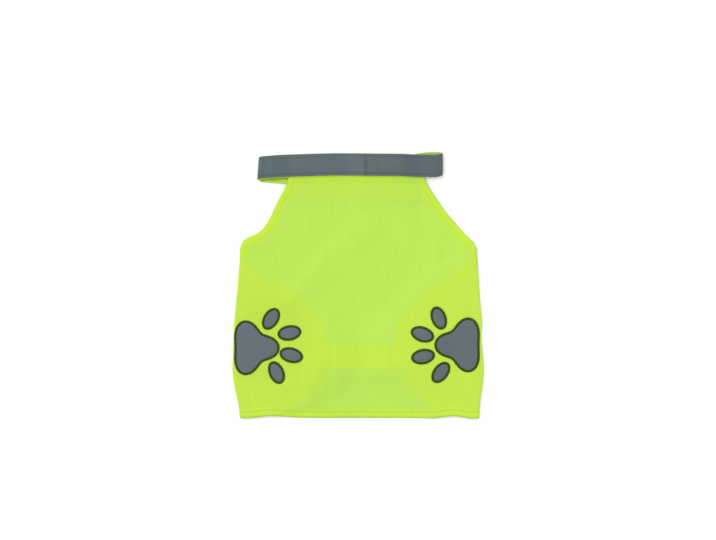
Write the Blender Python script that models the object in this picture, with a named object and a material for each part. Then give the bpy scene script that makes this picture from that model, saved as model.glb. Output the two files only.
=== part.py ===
# Dog safety vest, lying flat on its belly side.
# One cut of cloth makes the back and two wings. The wings are folded under the back and joined by a belly strap.
# The collar is a flattened ring of cloth with reflective tape outside, and each flank has a paw of reflective cloth.
# All sizes here are in millimetres. +X is right and +Y is towards the collar, seen from above. z = 0 is the surface.

import math

import bmesh
import bpy
import numpy as np
from mathutils import Vector

MM = 0.001

# Cloth and seams
CLOTH = 1.0
SEAM_GAP = 0.3
LAYER = CLOTH + SEAM_GAP
HEM_WIDTH = 10.0
HEM_STEP = 1.5
HEM_EXTRA = 0.6
SIDE_FOLD_RADIUS = 1.6
CELL = 8.0
# Points of a pattern that lie closer than this become one, and a cut passes through a point this near it
MERGE = 0.5
ON_LINE = 0.0001
# A surface's slope is taken over this distance to either side
SLOPE_STEP = 0.05

# The body's pattern runs over the back to its side folds, which lie at this distance on either side of the middle,
# then round each fold and on into the wing.
PATTERN_FOLD = 140.0
FOLD_ARC = math.pi * SIDE_FOLD_RADIUS
FOLD_STEPS = 4

# Silhouette of the back at its side folds
FOLDS = (
    # y, left x, right x
    (134, -133.4, 134.0),
    (46, -133.4, 134.0),
    (30, -133.5, 134.8),
    (12, -134.9, 135.9),
    (-15, -137.3, 137.7),
    (-42, -139.9, 139.9),
    (-56, -140.4, 139.3),
    (-69, -141.2, 139.9),
    (-82, -141.4, 141.3),
    (-96, -141.8, 141.9),
    (-110, -140.2, 140.9),
    (-123, -137.6, 139.0),
    (-137, -134.7, 137.5),
    (-151, -133.2, 136.6),
)

# Cut edges of the back, from the collar down to the armholes
LEFT_SLOPE = (
    # x, y
    (-76, 134), (-79.3, 117), (-83.8, 107), (-88.9, 98), (-95.6, 84.4), (-100.4, 74.6),
    (-105.2, 66.8), (-109.6, 61.8), (-115, 57.9), (-121, 55.2), (-126.6, 52.4), (-130.4, 48.4),
)
RIGHT_SLOPE = (
    # x, y
    (70, 134), (76.6, 117), (82.3, 107), (88.6, 98), (98.1, 84.4), (105.8, 75.2),
    (113.3, 66.5), (121, 57.5), (126.2, 52.4), (130.4, 48),
)

# Free edges of the wings, under the back, from the armholes round to the hem
LEFT_WING = (
    # x, y
    (-130, 31), (-114, 15), (-96, 4), (-78, -5), (-64, -14.5), (-51, -27), (-41.8, -40.4), (-35, -58.5),
    (-32.8, -76.6), (-34, -93), (-39.5, -107), (-48.6, -117), (-60, -126), (-76, -136), (-102, -145),
)
RIGHT_WING = (
    # x, y
    (129, 30), (112, 18), (98, 7), (84.8, -4.2), (69, -18), (56, -30), (46.5, -44), (41, -58.5),
    (39.6, -76), (43, -93), (52, -106), (62, -118), (78, -133), (103, -145),
)

# Past the armholes the back comes down to the surface along this line, on either side
ARMHOLE_REACH = (
    # x, y
    (170, 62), (136, 50), (131, 44),
)

# The bottom hem waves a little
HEM_LINE = (
    # x, y
    (-125, -149.9), (-112, -148.7), (-99, -147.4), (-80, -148.4), (-60, -149.6), (0, -149.7), (45, -149.7),
    (80, -150), (94, -148.9), (107, -147.5), (118, -148.6), (128, -150.2),
)

# Creases that stand up in the back
RIDGES = (
    # x0, y0, x1, y1, half width, height
    (12, 65, -73, -15, 24, 2.4),
    (-6, 16, 30, -12, 20, 1.0),
    (60, 96, 58, 64, 14, 1.4),
    (90, 62, 86, 20, 16, 1.2),
    (6, -104, 40, -88, 13, 1.0),
    (-38, -86, -56, -114, 12, 1.0),
)

# Belly strap and its closure on the right wing
STRAP_LEFT = -62.0
STRAP_RIGHT = 67.0
STRAP_MIDDLE = -80.5
STRAP_WIDTH = 26.0
CLOSURE_LEFT = 42.0
CLOSURE_RIGHT = 65.0
CLOSURE_WIDTH = 24.0

# Collar: a ring of band, pressed flat, with its ends lapped at the throat on the under side
BAND_WIDTH = 26.0
TAPE_WIDTH = 25.0
COLLAR_LEFT = -113.1
COLLAR_RIGHT = 95.9
COLLAR_RADIUS = LAYER
LAP_TIP = 47.5
LAP_CUT = 9.0
LAP_RISE_START = -16.0
LAP_RISE_END = 8.0
LAP_FALL_START = 48.0
LAP_FALL_END = 72.0
COLLAR_CLOSURE_LEFT = 11.0
COLLAR_CLOSURE_RIGHT = 46.0
COLLAR_EDGE = 112.0
COLLAR_RAMP = 16.0
LAP_RAMP = 24.0

# Middle line of the band in plan, on the under side and on the upper side
UNDER_LINE = (
    # x, y
    (-116, 131.6), (-98, 129.6), (-80, 128), (0, 127.6), (28, 128.6), (48, 131.4), (60, 134.4), (70, 136.8),
    (84, 137.7), (98, 137.4),
)
UPPER_LINE = (
    # x, y
    (-116, 132.3), (-98, 133.6), (-83, 134.6), (-60, 135.4), (-24, 136.3), (10, 135.8), (43, 135.5), (64, 134.9),
    (84, 134.3), (98, 134.9),
)

# Paws: a pad at each side fold and four toes
# A pad's outline lies this far from its middle: a sum of waves, with no, one, two and more turns to the round
PAD_WAVES = (25.9, -0.4, -1.3, 5.7, 1.3, -0.5)
TOE_LENGTH = 27.2
TOE_WIDTH = 17.4
PAWS = {
    # each toe: x, y, turn of its long axis in degrees
    "left": {
        "pad": (-118.6, -70.5),
        "toes": ((-98.1, -37.9, 58), (-77.3, -53.8, 10), (-75.2, -78.8, -14), (-91.9, -98.5, -66)),
    },
    "right": {
        "pad": (116.2, -67.3),
        "toes": ((91, -37, -70), (72.5, -55.3, -18), (73.2, -80.3, 10), (93.2, -98.2, 52)),
    },
}

# Finishes: sRGB colour, roughness
FINISHES = {
    "fluorescent_cloth": ((190, 233, 91), 0.85),
    "reflective_tape": ((122, 134, 138), 0.45),
    "reflective_cloth": ((112, 124, 128), 0.5),
    "hook_and_loop": ((190, 214, 96), 0.9),
}


def clear_scene():
    for item in list(bpy.data.objects):
        bpy.data.objects.remove(item, do_unlink=True)


def linear(channel):
    value = channel / 255
    return value / 12.92 if value <= 0.04045 else ((value + 0.055) / 1.055) ** 2.4


def make_material(name):
    colour, roughness = FINISHES[name]
    material = bpy.data.materials.new(name)
    material.use_nodes = True
    shader = material.node_tree.nodes["Principled BSDF"]
    shader.inputs["Base Color"].default_value = [linear(c) for c in colour] + [1.0]
    shader.inputs["Roughness"].default_value = roughness
    shader.inputs["Metallic"].default_value = 0.0
    material.diffuse_color = shader.inputs["Base Color"].default_value
    return material


# Curves and ramps

def smooth(t):
    t = min(max(t, 0.0), 1.0)
    return t * t * (3 - 2 * t)


def plateau(value, low, high, ramp):
    # Full between low and high, falling to nothing over the ramp on either side
    return smooth((value - low + ramp) / ramp) * smooth((high + ramp - value) / ramp)


def curve_through(points, spacing):
    # A smooth line through the points, in steps of about the spacing
    rows = [np.array(p, float) for p in points]
    rows = [2 * rows[0] - rows[1]] + rows + [2 * rows[-1] - rows[-2]]
    line = []
    for before, start, end, after in zip(rows, rows[1:], rows[2:], rows[3:]):
        steps = max(1, round(float(np.linalg.norm(end - start)) / spacing))
        for k in range(steps):
            t = k / steps
            bend = 2 * before - 5 * start + 4 * end - after
            twist = 3 * start - before - 3 * end + after
            line.append(tuple(start + 0.5 * ((end - before) * t + bend * t ** 2 + twist * t ** 3)))
    line.append(tuple(rows[-2]))
    return line


def line_lookup(rows, key, value, spacing=2.0):
    # Reads one column of a table as a smooth function of another
    line = sorted(curve_through([(row[key], row[value]) for row in rows], spacing))
    keys = [p[0] for p in line]
    values = [p[1] for p in line]
    return lambda at: float(np.interp(at, keys, values))


EDGE_TO_FOLD = SIDE_FOLD_RADIUS + CLOTH / 2
LEFT_FOLD = line_lookup(FOLDS, 0, 1)
RIGHT_FOLD = line_lookup(FOLDS, 0, 2)
LEFT_REACH = line_lookup(list(ARMHOLE_REACH) + [(-x, y) for x, y in LEFT_WING], 1, 0)
RIGHT_REACH = line_lookup(list(ARMHOLE_REACH) + list(RIGHT_WING), 1, 0)
UNDER_Y = line_lookup(UNDER_LINE, 0, 1)
UPPER_Y = line_lookup(UPPER_LINE, 0, 1)


def fold_x(side, y):
    # Distance from the middle to the axis of the side fold
    silhouette = -LEFT_FOLD(y) if side < 0 else RIGHT_FOLD(y)
    return silhouette - EDGE_TO_FOLD


def on_back(x, y):
    return x * PATTERN_FOLD / fold_x(x, y), y


def on_wing(x, y):
    side = -1 if x < 0 else 1
    past_fold = fold_x(side, y) - abs(x) + FOLD_ARC
    return side * (PATTERN_FOLD + past_fold), y


# Heights of the cloth's middle surface

def strap_lift(x, y):
    half = STRAP_WIDTH / 2 + 3.0
    along = plateau(x, STRAP_LEFT - CELL, STRAP_RIGHT + CELL, 2 * CELL)
    lift = LAYER * along * plateau(y, STRAP_MIDDLE - half, STRAP_MIDDLE + half, 2 * CELL)
    closure = plateau(x, CLOSURE_LEFT - CELL, CLOSURE_RIGHT + CELL, 3 * CELL)
    return lift + 2 * LAYER * closure * plateau(y, STRAP_MIDDLE - half, STRAP_MIDDLE + half, 3 * CELL)


def wing_height(x, y):
    return CLOTH / 2 + strap_lift(x, y)


def over_wing(x, y):
    reach = LEFT_REACH(y) if x < 0 else RIGHT_REACH(y)
    return 1 - smooth((reach - abs(x) - CELL / 2) / (2.5 * CELL))


def lap_lift(x):
    return smooth((x - LAP_RISE_START) / (LAP_RISE_END - LAP_RISE_START)) * smooth(
        (LAP_FALL_END - x) / (LAP_FALL_END - LAP_FALL_START))


def collar_lift(x, y):
    over_band = 2 * LAYER * smooth((y - COLLAR_EDGE + COLLAR_RAMP) / COLLAR_RAMP)
    return over_band + 3 * LAYER * lap_lift(x) * smooth((y - COLLAR_EDGE + LAP_RAMP) / LAP_RAMP)


def ridge_height(x, y, ridge):
    x0, y0, x1, y1, half, height = ridge
    start, along = Vector((x0, y0)), Vector((x1 - x0, y1 - y0))
    share = (Vector((x, y)) - start).dot(along) / along.length_squared
    away = (Vector((x, y)) - start - along * min(max(share, 0.0), 1.0)).length
    return height * smooth(1 - away / half)


def back_height(x, y, edge):
    over = over_wing(x, y)
    hem_room = HEM_EXTRA * smooth((3 * HEM_WIDTH - edge) / (1.5 * HEM_WIDTH)) * (1 - over)
    hem_room *= smooth((COLLAR_EDGE - y) / COLLAR_RAMP)
    creases = sum(ridge_height(x, y, ridge) for ridge in RIDGES)
    return wing_height(x, y) + 2 * SIDE_FOLD_RADIUS * over + hem_room + collar_lift(x, y) + creases


def body_surface(a, y, edge):
    # Where a point of the flat pattern lies: on the back, in a side fold or on a wing
    side = -1 if a < 0 else 1
    fold = fold_x(side, y)
    past = abs(a) - PATTERN_FOLD
    if past <= 0:
        x = a * fold / PATTERN_FOLD
        return Vector((x, y, back_height(x, y, edge)))
    if past < FOLD_ARC:
        turn = past / SIDE_FOLD_RADIUS
        x = fold + SIDE_FOLD_RADIUS * math.sin(turn)
        z = wing_height(fold, y) + SIDE_FOLD_RADIUS * (1 + math.cos(turn))
        return Vector((side * x, y, z))
    x = side * (fold - (past - FOLD_ARC))
    return Vector((x, y, wing_height(x, y)))


# Flat patterns and the walls made from them

def inset_rings(bm, widths):
    inner = list(bm.faces)
    done = 0.0
    for width in widths:
        bmesh.ops.inset_region(bm, faces=inner, thickness=width - done, use_boundary=True, use_even_offset=True)
        done = width


def cut_lines(bm, normal, places):
    for place in places:
        geometry = bm.verts[:] + bm.edges[:] + bm.faces[:]
        bmesh.ops.bisect_plane(bm, geom=geometry, dist=ON_LINE, plane_co=normal * place, plane_no=normal)


def flat_pattern(outline, across, along, rings=()):
    # The outline as a flat mesh, cut along lines of equal pattern coordinate
    bm = bmesh.new()
    bm.faces.new([bm.verts.new((a, y, 0)) for a, y in outline])
    bm.normal_update()
    if bm.faces[:][0].normal.z < 0:
        bmesh.ops.reverse_faces(bm, faces=bm.faces[:])
    inset_rings(bm, rings)
    cut_lines(bm, Vector((1, 0, 0)), across)
    cut_lines(bm, Vector((0, 1, 0)), along)
    bmesh.ops.remove_doubles(bm, verts=bm.verts[:], dist=MERGE)
    made = bmesh.ops.triangulate(bm, faces=bm.faces[:])
    bmesh.ops.beautify_fill(bm, faces=bm.faces[:], edges=made["edges"])
    return bm


def make_wall(name, flat, surface, low, high, material):
    # A closed wall between two offsets from the surface, measured along its outward normal
    flat.verts.index_update()
    count = len(flat.verts)
    inner, outer = [], []
    step = SLOPE_STEP
    for vert in flat.verts:
        a, y = vert.co.x, vert.co.y
        across = surface(a + step, y) - surface(a - step, y)
        along = surface(a, y + step) - surface(a, y - step)
        normal = across.cross(along).normalized()
        middle = surface(a, y)
        inner.append((middle + normal * low(a, y)) * MM)
        outer.append((middle + normal * high(a, y)) * MM)
    faces = [[v.index + count for v in face.verts] for face in flat.faces]
    faces += [[v.index for v in reversed(face.verts)] for face in flat.faces]
    for edge in flat.edges:
        if edge.is_boundary:
            loop = edge.link_loops[0]
            start, end = loop.vert.index, loop.link_loop_next.vert.index
            faces.append([end + count, start + count, start, end])
    mesh = bpy.data.meshes.new(name)
    mesh.from_pydata(inner + outer, [], faces)
    mesh.materials.append(material)
    mesh.shade_smooth()
    mesh.set_sharp_from_angle(angle=math.radians(50))
    flat.free()
    item = bpy.data.objects.new(name, mesh)
    bpy.context.scene.collection.objects.link(item)
    return item


def multiples(low, high, step=CELL):
    first = math.ceil(low / step)
    last = math.floor(high / step)
    return [step * k for k in range(first, last + 1)]


def constant(value):
    return lambda a, y: value


# Body

def body_outline():
    left = [on_back(*p) for p in LEFT_SLOPE[1:]] + [on_wing(*p) for p in LEFT_WING]
    right = [on_back(*p) for p in RIGHT_SLOPE[1:]] + [on_wing(*p) for p in RIGHT_WING]
    hem = [on_wing(-122, -149)] + [on_back(*p) for p in HEM_LINE] + [on_wing(126, -149)]
    lower = curve_through(left + hem + right[::-1], CELL)
    return [on_back(*RIGHT_SLOPE[0]), on_back(*LEFT_SLOPE[0])] + lower


def edge_distance(outline):
    # Distance from a pattern point to the nearest cut edge
    starts = np.array(outline)
    spans = np.roll(starts, -1, axis=0) - starts
    squares = (spans ** 2).sum(axis=1)

    def distance(a, y):
        offset = np.array((a, y)) - starts
        share = np.clip((offset * spans).sum(axis=1) / squares, 0, 1)
        return float(np.sqrt(((offset - spans * share[:, None]) ** 2).sum(axis=1)).min())

    return distance


def pattern_lines():
    wing_reach = PATTERN_FOLD + FOLD_ARC
    back = multiples(-PATTERN_FOLD + 1, PATTERN_FOLD - 1)
    wing = [wing_reach + step for step in multiples(CELL, 120)]
    folds = [PATTERN_FOLD + FOLD_ARC * k / FOLD_STEPS for k in range(FOLD_STEPS + 1)]
    beyond = folds + wing
    return back + beyond + [-place for place in beyond], multiples(-150, 134)


def make_body(material):
    outline = body_outline()
    distance = edge_distance(outline)
    across, along = pattern_lines()
    flat = flat_pattern(outline, across, along, (HEM_WIDTH, HEM_WIDTH + HEM_STEP))

    def surface(a, y):
        return body_surface(a, y, distance(a, y))

    def inner_face(a, y):
        hem = min(max((HEM_WIDTH + HEM_STEP - distance(a, y)) / HEM_STEP, 0.0), 1.0)
        below_collar = min(max((COLLAR_EDGE - y) / CELL, 0.0), 1.0)
        return -CLOTH / 2 - HEM_EXTRA * hem * below_collar

    make_wall("body", flat, surface, inner_face, constant(CLOTH / 2), material)
    return surface


# Belly strap and flat patches

def make_patch(name, x_range, y_range, height, corner, material):
    # A level rounded rectangle
    (x0, x1), (y0, y1) = x_range, y_range
    centres = ((x1 - corner, y1 - corner, 0), (x0 + corner, y1 - corner, 90),
               (x0 + corner, y0 + corner, 180), (x1 - corner, y0 + corner, 270))
    outline = []
    for cx, cy, first in centres:
        for turn in (0, 30, 60, 90):
            angle = math.radians(first + turn)
            outline.append((cx + corner * math.cos(angle), cy + corner * math.sin(angle)))
    flat = flat_pattern(outline, multiples(x0 + 1, x1 - 1), [])

    def surface(x, y):
        return Vector((x, y, height))

    make_wall(name, flat, surface, constant(-CLOTH / 2), constant(CLOTH / 2), material)


def make_belly(cloth, closure):
    half = STRAP_WIDTH / 2
    strap_rows = (STRAP_MIDDLE - half, STRAP_MIDDLE + half)
    closure_half = CLOSURE_WIDTH / 2
    closure_rows = (STRAP_MIDDLE - closure_half, STRAP_MIDDLE + closure_half)
    closure_columns = (CLOSURE_LEFT, CLOSURE_RIGHT)
    make_patch("belly_strap", (STRAP_LEFT, STRAP_RIGHT), strap_rows, CLOTH / 2, 3.0, cloth)
    make_patch("belly_hook", closure_columns, closure_rows, CLOTH / 2 + LAYER, 2.0, closure)
    make_patch("belly_loop", closure_columns, closure_rows, CLOTH / 2 + 2 * LAYER, 2.0, closure)


# Collar

COLLAR_AXIS_LEFT = COLLAR_LEFT + COLLAR_RADIUS + LAYER + CLOTH / 2
COLLAR_AXIS_RIGHT = COLLAR_RIGHT - COLLAR_RADIUS - LAYER - CLOTH / 2
COLLAR_ARC = math.pi * COLLAR_RADIUS
UNDER_RUN = LAP_TIP - COLLAR_AXIS_LEFT
UPPER_RUN = COLLAR_AXIS_RIGHT - COLLAR_AXIS_LEFT
INNER_RUN = COLLAR_AXIS_RIGHT - LAP_CUT
BAND_HEIGHT = CLOTH / 2 + LAYER
# Where each stretch of the band starts, along the band from its outer end
UPPER_START = UNDER_RUN + COLLAR_ARC
RIGHT_FOLD_START = UPPER_START + UPPER_RUN
INNER_START = RIGHT_FOLD_START + COLLAR_ARC


def collar_line(along):
    # Plan x, middle y and height at a distance along the band
    if along <= UNDER_RUN:
        x = LAP_TIP - along
        return x, UNDER_Y(x), BAND_HEIGHT
    if along < UPPER_START:
        turn = (along - UNDER_RUN) / COLLAR_RADIUS
        x = COLLAR_AXIS_LEFT - COLLAR_RADIUS * math.sin(turn)
        share = turn / math.pi
        y = UNDER_Y(COLLAR_AXIS_LEFT) * (1 - share) + UPPER_Y(COLLAR_AXIS_LEFT) * share
        return x, y, BAND_HEIGHT + COLLAR_RADIUS * (1 - math.cos(turn))
    if along <= RIGHT_FOLD_START:
        x = COLLAR_AXIS_LEFT + along - UPPER_START
        return x, UPPER_Y(x), BAND_HEIGHT + 2 * COLLAR_RADIUS + 3 * LAYER * lap_lift(x)
    if along < INNER_START:
        turn = (along - RIGHT_FOLD_START) / COLLAR_RADIUS
        x = COLLAR_AXIS_RIGHT + COLLAR_RADIUS * math.sin(turn)
        share = turn / math.pi
        y = UPPER_Y(COLLAR_AXIS_RIGHT) * (1 - share) + UNDER_Y(COLLAR_AXIS_RIGHT) * share
        return x, y, BAND_HEIGHT + COLLAR_RADIUS * (1 + math.cos(turn))
    x = COLLAR_AXIS_RIGHT - (along - INNER_START)
    return x, UNDER_Y(x), BAND_HEIGHT + 3 * LAYER * lap_lift(max(x, LAP_RISE_END))


def collar_surface(along, width):
    x, y, z = collar_line(along)
    return Vector((x, y + width, z))


def collar_stations():
    # The band is cut at the same places as the body under it, and round its two folds
    places = [LAP_TIP - x for x in multiples(COLLAR_AXIS_LEFT + 2, LAP_TIP - 2)]
    places += [UPPER_START + x - COLLAR_AXIS_LEFT for x in multiples(COLLAR_AXIS_LEFT + 2, COLLAR_AXIS_RIGHT - 2)]
    places += [INNER_START + COLLAR_AXIS_RIGHT - x for x in multiples(LAP_CUT + 2, COLLAR_AXIS_RIGHT - 2)]
    for start in (UNDER_RUN, RIGHT_FOLD_START):
        places += [start + COLLAR_ARC * k / FOLD_STEPS for k in range(FOLD_STEPS + 1)]
    return places


def make_strip(name, start, end, width, low, high, material):
    half = width / 2
    outline = [(start, -half), (end, -half), (end, half), (start, half)]
    stations = [place for place in collar_stations() if start + 1 < place < end - 1]
    flat = flat_pattern(outline, stations, [])
    make_wall(name, flat, collar_surface, constant(low), constant(high), material)


def make_collar(cloth, tape, closure):
    half = CLOTH / 2
    tape_end = INNER_START + COLLAR_AXIS_RIGHT - LAP_FALL_END
    make_strip("collar_band", 0, INNER_START + INNER_RUN, BAND_WIDTH, -half, half, cloth)
    make_strip("collar_tape", 0, tape_end, TAPE_WIDTH, LAYER - half, LAYER + half, tape)
    closure_start, closure_end = LAP_TIP - COLLAR_CLOSURE_RIGHT, LAP_TIP - COLLAR_CLOSURE_LEFT
    for layer, name in ((1, "collar_hook"), (2, "collar_loop")):
        middle = -layer * LAYER
        make_strip(name, closure_start, closure_end, CLOSURE_WIDTH, middle - half, middle + half, closure)


# Paws

def pad_outline(x, y, side):
    # A rounded triangle: its tip points to the middle of the back, its two lobes lie along the side fold
    points = []
    for k in range(36):
        angle = math.tau * k / 36
        radius = sum(wave * math.cos(turns * angle) for turns, wave in enumerate(PAD_WAVES))
        points.append((x - side * radius * math.cos(angle), y + radius * math.sin(angle)))
    return points


def toe_outline(x, y, turn):
    along = Vector((math.cos(math.radians(turn)), math.sin(math.radians(turn))))
    across = Vector((-along.y, along.x))
    points = []
    for k in range(16):
        angle = math.tau * k / 16
        offset = along * (TOE_LENGTH / 2 * math.cos(angle)) + across * (TOE_WIDTH / 2 * math.sin(angle))
        points.append((x + offset.x, y + offset.y))
    return points


def make_applique(name, outline, body, material):
    across, along = pattern_lines()
    flat = flat_pattern([on_back(*p) for p in outline], across, along)
    make_wall(name, flat, body, constant(CLOTH / 2 + SEAM_GAP), constant(CLOTH / 2 + LAYER), material)


def make_paws(body, material):
    for side_name, paw in PAWS.items():
        side = -1 if side_name == "left" else 1
        make_applique(f"paw_{side_name}_pad", pad_outline(*paw["pad"], side), body, material)
        for number, toe in enumerate(paw["toes"], start=1):
            make_applique(f"paw_{side_name}_toe_{number}", toe_outline(*toe), body, material)


def main():
    clear_scene()
    cloth = make_material("fluorescent_cloth")
    closure = make_material("hook_and_loop")
    body = make_body(cloth)
    make_belly(cloth, closure)
    make_collar(cloth, make_material("reflective_tape"), closure)
    make_paws(body, make_material("reflective_cloth"))


main()
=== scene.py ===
# Dog safety vest laid flat on its belly side, seen from straight above.
# Sizes are in millimetres until a mesh is written. x is right, y towards the collar, z up from the floor.

import math
from functools import partial

import bpy
import numpy as np
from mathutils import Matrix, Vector
from mathutils.geometry import delaunay_2d_cdt


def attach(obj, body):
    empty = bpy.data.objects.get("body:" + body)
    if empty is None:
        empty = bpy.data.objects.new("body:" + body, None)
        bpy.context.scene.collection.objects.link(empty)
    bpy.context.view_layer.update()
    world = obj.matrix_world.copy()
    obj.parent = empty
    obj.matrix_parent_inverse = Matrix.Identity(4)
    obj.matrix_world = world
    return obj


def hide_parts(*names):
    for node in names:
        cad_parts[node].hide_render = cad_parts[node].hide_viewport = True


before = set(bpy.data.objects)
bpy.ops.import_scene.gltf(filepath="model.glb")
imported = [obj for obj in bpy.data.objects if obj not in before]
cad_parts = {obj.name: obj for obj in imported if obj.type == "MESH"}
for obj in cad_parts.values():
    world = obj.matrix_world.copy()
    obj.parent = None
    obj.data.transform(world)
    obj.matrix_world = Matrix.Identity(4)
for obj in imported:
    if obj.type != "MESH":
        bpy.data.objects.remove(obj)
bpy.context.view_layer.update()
mm = 0.001

# Room

studio = {
    "imageWidth": 716,  # pixels
    "pixelSize": 1.13,  # mm of the vest for a pixel
    "lookAt": (0.0, 17.2),  # mm, what the middle of the photo shows
    "lens": 100.0,
    "sensor": 36.0,
    "worldLight": 0.95,
    "softboxPower": 35.0,  # W
    "softboxSize": 2.4,  # m
    "softboxPlace": (-1.2, 1.1, 2.3),  # m, so that creases shade from the upper left
    "floorColour": "FCFCFC",
}


def linearColour(code):
    # sRGB hex to the linear colour that a shader wants
    channels = [int(code[k:k + 2], 16) / 255 for k in (0, 2, 4)]
    return [c / 12.92 if c <= 0.04045 else ((c + 0.055) / 1.055) ** 2.4 for c in channels] + [1.0]


def addNode(tree, kind, inputs=(), **settings):
    # Inputs are in socket order or by name: values, sockets, or nodes, which stand for their first output
    node = tree.nodes.new(kind)
    for name, value in settings.items():
        setattr(node, name, value)
    for key, value in inputs.items() if isinstance(inputs, dict) else enumerate(inputs):
        if isinstance(value, bpy.types.Node):
            value = value.outputs[0]
        if isinstance(value, bpy.types.NodeSocket):
            tree.links.new(value, node.inputs[key])
        else:
            node.inputs[key].default_value = value
    return node


def newMaterial(name, **surface):
    # A Principled material and what adds nodes to it; each keyword is the name of one of its sockets
    material = bpy.data.materials.new(name)
    material.use_nodes = True
    shader = material.node_tree.nodes["Principled BSDF"]
    for socket, value in surface.items():
        shader.inputs[socket.replace("_", " ")].default_value = value
    return material, partial(addNode, material.node_tree)


def addObject(name, data, place=(0, 0, 0)):
    obj = bpy.data.objects.new(name, data)
    obj.location = place
    bpy.context.scene.collection.objects.link(obj)
    return obj


def makeStudio(values):
    scene = bpy.context.scene
    scene.view_settings.view_transform = "Standard"
    cameraData = bpy.data.cameras.new("overheadCamera")
    cameraData.lens, cameraData.sensor_width = values["lens"], values["sensor"]
    x, y = values["lookAt"]
    height = values["imageWidth"] * values["pixelSize"] * values["lens"] / values["sensor"]
    scene.camera = addObject("overheadCamera", cameraData, (x * mm, y * mm, height * mm))

    scene.world = bpy.data.worlds.new("studioWorld")
    scene.world.use_nodes = True
    sky = scene.world.node_tree.nodes["Background"]
    sky.inputs["Color"].default_value = (1, 1, 1, 1)
    sky.inputs["Strength"].default_value = values["worldLight"]

    lightData = bpy.data.lights.new("softbox", "AREA")
    lightData.energy, lightData.size = values["softboxPower"], values["softboxSize"]
    light = addObject("softbox", lightData, values["softboxPlace"])
    light.rotation_euler = (-Vector(values["softboxPlace"])).to_track_quat("-Z", "Y").to_euler()

    floorMesh = bpy.data.meshes.new("studioFloor")
    floorMesh.from_pydata([(-4, -4, 0), (4, -4, 0), (4, 4, 0), (-4, 4, 0)], [], [(0, 1, 2, 3)])
    paper, _ = newMaterial("whitePaperSweep", Base_Color=linearColour(values["floorColour"]),
                           Roughness=1.0, Specular_IOR_Level=0.0)
    floorMesh.materials.append(paper)
    addObject("studioFloor", floorMesh)


makeStudio(studio)
print("studio made")

# Lines and ramps


def smooth(t):
    t = np.clip(t, 0.0, 1.0)
    return t * t * (3 - 2 * t)


def plateau(value, low, high, ramp):
    # Full between low and high, falling to nothing over the ramp on either side
    return smooth((value - low + ramp) / ramp) * smooth((high + ramp - value) / ramp)


def bell(value, middle, width):
    return np.exp(-((value - middle) / width) ** 2)


def curveThrough(points, spacing):
    rows = [np.array(p, float) for p in points]
    rows = [2 * rows[0] - rows[1]] + rows + [2 * rows[-1] - rows[-2]]
    line = []
    for before, start, end, after in zip(rows, rows[1:], rows[2:], rows[3:]):
        steps = max(1, round(float(np.linalg.norm(end - start)) / spacing))
        for t in np.arange(steps) / steps:
            bend = 2 * before - 5 * start + 4 * end - after
            twist = 3 * start - before - 3 * end + after
            line.append(start + 0.5 * ((end - before) * t + bend * t ** 2 + twist * t ** 3))
    return np.array(line + [rows[-2]])


def lookUp(rows, key, value):
    # One column of a table as a smooth function of another
    line = curveThrough([(row[key], row[value]) for row in rows], 2.0)
    line = line[np.argsort(line[:, 0], kind="stable")]
    return lambda at: np.interp(at, line[:, 0], line[:, 1])


def resample(line, spacing, closed=False):
    # Even steps along a line; spacing is a number or a function of the points
    if closed:
        line = np.vstack([line, line[:1]])
    steps = np.linalg.norm(np.diff(line, axis=0), axis=1)
    wanted = spacing((line[1:] + line[:-1]) / 2) if callable(spacing) else spacing
    travelled = np.concatenate([[0.0], np.cumsum(steps / wanted)])
    places = np.linspace(0, travelled[-1], max(2, round(travelled[-1])) + 1)
    even = np.column_stack([np.interp(places, travelled, column) for column in line.T])
    return even[:-1] if closed else even


def nearestOnLine(points, line, closed=False):
    # How far each point is from the line, and how far along the line its nearest place is
    starts = line if closed else line[:-1]
    spans = (np.roll(line, -1, axis=0) if closed else line[1:]) - starts
    lengths = np.linalg.norm(spans, axis=1)
    before = np.cumsum(lengths) - lengths
    away, along = np.empty(len(points)), np.empty(len(points))
    batch = 3000  # points at a time, to spare memory
    for first in range(0, len(points), batch):
        part = slice(first, first + batch)
        offset = points[part, None, :] - starts
        share = np.clip((offset * spans).sum(axis=2) / lengths ** 2, 0, 1)
        distance = np.linalg.norm(offset - spans * share[..., None], axis=2)
        nearest = distance.argmin(axis=1)
        rows = np.arange(len(nearest))
        away[part] = distance[rows, nearest]
        along[part] = before[nearest] + share[rows, nearest] * lengths[nearest]
    return away, along


def insideOutline(points, outline):
    x, y = points.T
    inside = np.zeros(len(points), bool)
    for (x0, y0), (x1, y1) in zip(outline, np.roll(outline, -1, axis=0)):
        if y0 != y1:
            inside ^= ((y0 > y) != (y1 > y)) & (x < x0 + (y - y0) * (x1 - x0) / (y1 - y0))
    return inside


def signedArea(line):
    # Positive where the closed line runs counter-clockwise
    x, y = line.T
    return (x * np.roll(y, -1) - y * np.roll(x, -1)).sum() / 2


def insetLine(outline, depth):
    # The outline, which runs counter-clockwise, moved inwards
    along = np.roll(outline, -1, axis=0) - np.roll(outline, 1, axis=0)
    inward = np.column_stack([-along[:, 1], along[:, 0]]) / np.linalg.norm(along, axis=1)[:, None]
    line = outline + inward * depth
    away, _ = nearestOnLine(line, outline, closed=True)
    return line[away > depth - 0.05]


# Cloth: every piece is a flat cut, laid on a surface that gives each pattern point its place


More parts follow.
